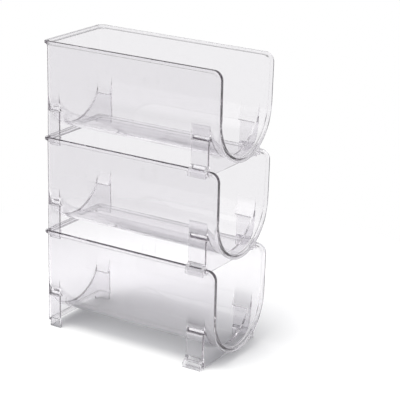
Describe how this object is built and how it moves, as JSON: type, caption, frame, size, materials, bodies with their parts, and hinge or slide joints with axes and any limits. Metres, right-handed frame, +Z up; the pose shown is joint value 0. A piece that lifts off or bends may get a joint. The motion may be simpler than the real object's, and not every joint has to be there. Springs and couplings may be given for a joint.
{
  "type": "wine rack",
  "caption": "Stacked clear U-shaped bottle trays with a rim that turns down round the open front, each on moulded legs whose feet straddle the rim below.",
  "frame": {"origin": "on the floor under the middle of the stack: middle of its width over the feet, middle of its length, underside of the lowest feet", "axes": "+Z up; +X across the trays, to the right when the rack is seen from the front; +Y along the trays towards their closed rear ends, so the open front ends with the bottle necks face -Y"},
  "size_m": [0.1016, 0.203, 0.2971],
  "materials": {
    "clear_plastic": "polished, water-clear moulding"
  },
  "bodies": {
    "tray_bottom": {"tray_bottom": "clear_plastic"},
    "tray_middle": {"tray_middle": "clear_plastic"},
    "tray_top": {"tray_top": "clear_plastic"}
  },
  "joints": [
    {"name": "middle_lift", "type": "slide", "parent": "tray_bottom", "child": "tray_middle", "axis": [0, 0, 1], "range_m": [0, 0.12]},
    {"name": "top_lift", "type": "slide", "parent": "tray_middle", "child": "tray_top", "axis": [0, 0, 1], "range_m": [0, 0.12]}
  ]
}
